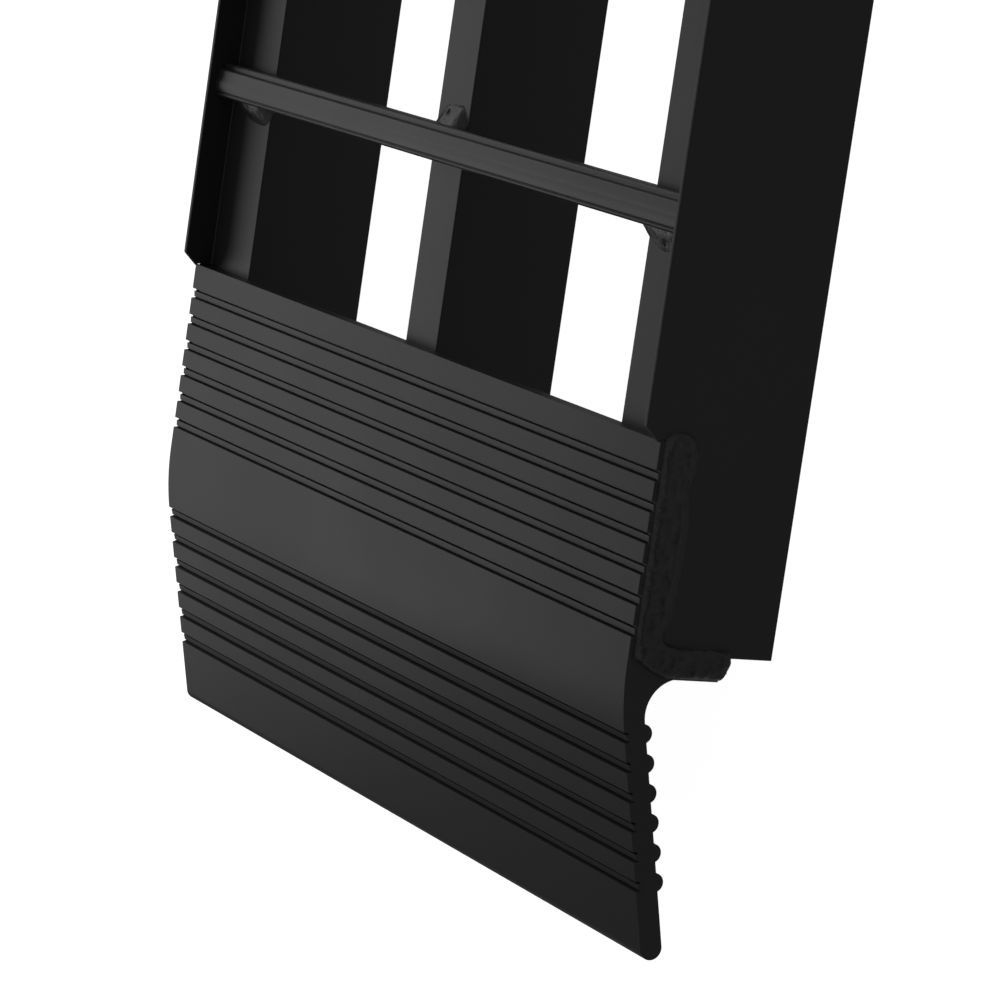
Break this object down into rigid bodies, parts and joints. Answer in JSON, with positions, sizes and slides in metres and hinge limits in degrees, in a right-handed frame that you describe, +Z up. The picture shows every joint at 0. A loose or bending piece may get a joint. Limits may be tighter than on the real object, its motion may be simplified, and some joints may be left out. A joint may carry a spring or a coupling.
{
  "type": "folding loading ramp",
  "caption": "Straight ladder-type loading ramp that folds in half, with cross rungs on box rails and a bent, ridged plate at each end.",
  "frame": {"origin": "on the ground under the fold, midway between the two side rails, with the ramp unfolded and lying on its rails", "axes": "+Y along the ramp from the fold to the ground end (the vehicle's end is at -Y), +Z up, X across the ramp"},
  "size_m": [0.3168, 2.286, 0.0472],
  "materials": {
    "rail": "satin black powder coat",
    "plate": "satin black powder coat",
    "rung": "satin black powder coat",
    "weld": "satin black powder coat",
    "link": "satin black powder coat",
    "zinc_steel": "bright zinc plate",
    "bush_steel": "plain drawn tube"
  },
  "bodies": {
    "upper_section": {"upper_left_rail": "rail", "upper_centre_rail": "rail", "upper_right_rail": "rail", "upper_end_plate": "plate", "upper_rung_welds": "weld", "upper_plate_welds": "weld", "upper_hinge_bolts": "zinc_steel", "upper_hinge_nuts": "zinc_steel", "upper_hinge_washers": "zinc_steel", "upper_spacer_bushes": "bush_steel", "upper_rung_1": "rung", "upper_rung_2": "rung", "upper_rung_3": "rung", "upper_rung_4": "rung", "upper_rung_5": "rung", "upper_rung_6": "rung", "upper_rung_7": "rung", "upper_rung_8": "rung", "upper_rung_9": "rung", "upper_rung_10": "rung"},
    "hinge_links": {"left_link": "link", "centre_left_link": "link", "centre_right_link": "link", "right_link": "link"},
    "lower_section": {"lower_left_rail": "rail", "lower_centre_rail": "rail", "lower_right_rail": "rail", "lower_end_plate": "plate", "lower_rung_welds": "weld", "lower_plate_welds": "weld", "lower_hinge_bolts": "zinc_steel", "lower_hinge_nuts": "zinc_steel", "lower_hinge_washers": "zinc_steel", "lower_spacer_bushes": "bush_steel", "lower_rung_1": "rung", "lower_rung_2": "rung", "lower_rung_3": "rung", "lower_rung_4": "rung", "lower_rung_5": "rung", "lower_rung_6": "rung", "lower_rung_7": "rung", "lower_rung_8": "rung", "lower_rung_9": "rung", "lower_rung_10": "rung"}
  },
  "joints": [
    {"name": "upper_fold", "type": "hinge", "parent": "upper_section", "child": "hinge_links", "pos_m": [0, -0.024, 0.017], "axis": [-1, 0, 0], "range_deg": [0, 90]},
    {"name": "lower_fold", "type": "hinge", "parent": "hinge_links", "child": "lower_section", "pos_m": [0, 0.024, 0.017], "axis": [-1, 0, 0], "range_deg": [0, 90]}
  ]
}
